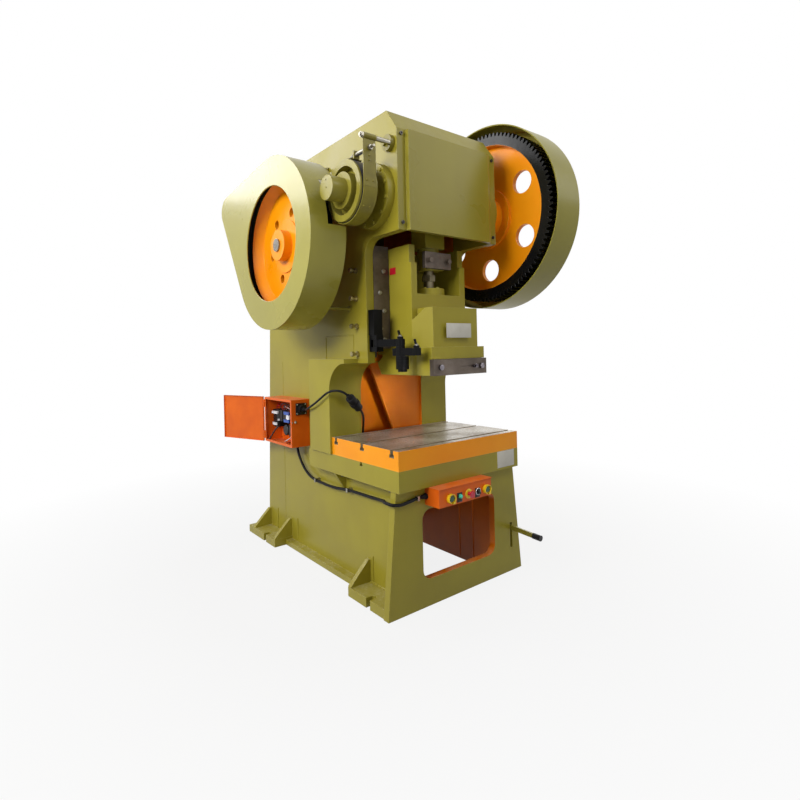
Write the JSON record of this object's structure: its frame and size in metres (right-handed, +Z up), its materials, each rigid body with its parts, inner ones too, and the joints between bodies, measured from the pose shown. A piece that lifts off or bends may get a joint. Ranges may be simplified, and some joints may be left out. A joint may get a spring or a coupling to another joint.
{
  "type": "mechanical power press",
  "caption": "Open-fronted C-frame mechanical stamping press with crank-driven slide, big gear, flywheel, guards, T-slot bolster, motor, control panel and foot lever.",
  "frame": {"origin": "on the floor, at the middle of the four anchor slots in the feet", "axes": "+X to the right seen from the front, +Y from the front to the rear, +Z up; the slide at the top of its stroke"},
  "size_m": [1.67, 2.6053, 3.2678],
  "materials": {
    "frame_paint": "semi-gloss olive enamel, orange inside",
    "bolster_steel": "scraped grey top, orange painted sides",
    "dark_screws": "blackened",
    "cover_paint": "olive enamel",
    "bronze": "machined bronze",
    "lining": "matt friction lining",
    "brake_paint": "olive enamel",
    "bare_steel": "oiled brown-grey steel",
    "guard_paint": "olive enamel on sheet",
    "gear_paint": "orange web, black greased rim",
    "shaft_steel": "turned",
    "motor_paint": "grey-blue enamel",
    "belt_rubber": "matt",
    "box_paint": "red-orange enamel",
    "black_plastic": "matt",
    "black_enamel": "glossy black enamel",
    "cable_sheath": "matt black sheath",
    "yellow_plastic": "gloss",
    "green_plastic": "gloss",
    "red_plastic": "gloss",
    "lamp_lens": "translucent turquoise",
    "red_paint": "gloss red",
    "zinc": "zinc plated",
    "slide_paint": "olive enamel",
    "lever_paint": "olive enamel"
  },
  "bodies": {
    "press_frame": {"frame": "frame_paint", "bolster": "bolster_steel", "socket_screws": "dark_screws", "front_cover": "cover_paint", "crank_housings": "frame_paint", "crank_bushes": "bronze", "brake_band": "brake_paint", "brake_lining": "lining", "brake_bracket": "brake_paint", "brake_spring_rod": "zinc", "gibs": "bare_steel", "gib_bolts": "zinc", "gear_guard": "guard_paint", "flywheel_guard": "guard_paint", "guard_stays": "brake_paint", "shaft_housings": "frame_paint", "motor": "motor_paint", "motor_base": "frame_paint", "v_belts": "belt_rubber", "electrical_box": "box_paint", "contactors": "black_plastic", "box_socket": "black_plastic", "lead_plug": "black_plastic", "socket_lead": "cable_sheath", "panel_lead": "cable_sheath", "cable_clips": "zinc", "panel_box": "box_paint", "button_shrouds": "yellow_plastic", "pilot_lamp": "lamp_lens", "lever_pivot": "zinc", "arm_bracket": "black_enamel"},
    "crank": {"crankshaft": "shaft_steel", "brake_drum": "brake_paint", "clutch_key": "shaft_steel", "crank_end_plate": "frame_paint"},
    "gear": {"big_gear": "gear_paint", "gear_bush": "bronze"},
    "drive": {"pinion_shaft": "shaft_steel", "flywheel": "gear_paint"},
    "motor_rotor": {"motor_pulley": "bare_steel", "motor_shaft": "shaft_steel"},
    "slide": {"slide_ram": "slide_paint", "connecting_rod": "slide_paint", "rod_cap": "slide_paint", "rod_bolts": "dark_screws", "ball_screw": "bare_steel", "ball_ring": "slide_paint", "screw_clamp": "bare_steel", "shank_clamp": "bare_steel", "clamp_screws": "zinc", "stroke_pointer": "red_paint"},
    "door": {"box_door": "box_paint"},
    "button_left": {"left_button": "green_plastic"},
    "button_right": {"right_button": "green_plastic"},
    "button_stop": {"stop_button": "red_plastic"},
    "selector": {"selector_knob": "black_plastic"},
    "pedal": {"foot_lever": "lever_paint", "lever_grip": "black_plastic"},
    "arm_inner": {"first_arm": "black_enamel"},
    "arm_outer": {"second_arm": "black_enamel"}
  },
  "joints": [
    {"name": "crank_turn", "type": "hinge", "parent": "press_frame", "child": "crank", "pos_m": [0, -0.727, 2.585], "axis": [1, 0, 0], "range_deg": [0, 180]},
    {"name": "slide_stroke", "type": "slide", "parent": "press_frame", "child": "slide", "axis": [0, 0, 1], "range_m": [-0.14, 0]},
    {"name": "gear_spin", "type": "hinge", "parent": "press_frame", "child": "gear", "pos_m": [0, -0.727, 2.585], "axis": [1, 0, 0], "continuous": true},
    {"name": "flywheel_spin", "type": "hinge", "parent": "press_frame", "child": "drive", "pos_m": [0, -0.04461, 2.35535], "axis": [1, 0, 0], "continuous": true},
    {"name": "motor_spin", "type": "hinge", "parent": "press_frame", "child": "motor_rotor", "pos_m": [0, 0.76, 2.765], "axis": [1, 0, 0], "continuous": true},
    {"name": "box_door_swing", "type": "hinge", "parent": "press_frame", "child": "door", "pos_m": [-0.601, 0.724, 1], "axis": [0, 0, 1], "range_deg": [0, 160]},
    {"name": "left_button_press", "type": "slide", "parent": "press_frame", "child": "button_left", "axis": [0, 1, 0], "range_m": [0, 0.005], "stiffness_N_per_m": 500, "springref_m": -0.004},
    {"name": "right_button_press", "type": "slide", "parent": "press_frame", "child": "button_right", "axis": [0, 1, 0], "range_m": [0, 0.005], "stiffness_N_per_m": 500, "springref_m": -0.004},
    {"name": "stop_button_press", "type": "slide", "parent": "press_frame", "child": "button_stop", "axis": [0, 1, 0], "range_m": [0, 0.006], "stiffness_N_per_m": 600, "springref_m": -0.004},
    {"name": "selector_turn", "type": "hinge", "parent": "press_frame", "child": "selector", "pos_m": [0.026, -1.118, 0.682], "axis": [0, 1, 0], "range_deg": [-5, 85]},
    {"name": "foot_lever_press", "type": "hinge", "parent": "press_frame", "child": "pedal", "pos_m": [0.503, -0.73, 0.322], "axis": [1, 0, 0], "range_deg": [0, 24], "stiffness_Nm_per_rad": 45, "springref_deg": -20.05},
    {"name": "arm_shoulder", "type": "hinge", "parent": "press_frame", "child": "arm_inner", "pos_m": [-0.395, -0.649, 1.645], "axis": [0, 0, 1], "range_deg": [-75, 0]},
    {"name": "arm_elbow", "type": "hinge", "parent": "arm_inner", "child": "arm_outer", "pos_m": [-0.35446, -0.83974, 1.585], "axis": [0, 0, 1], "range_deg": [-60, 12]}
  ],
  "couplings": [
    {"joint": "slide_stroke", "follows": "crank_turn", "m_per_rad": -0.044563},
    {"joint": "flywheel_spin", "follows": "gear_spin", "ratio": -6.0588},
    {"joint": "motor_spin", "follows": "gear_spin", "ratio": -39.211}
  ]
}
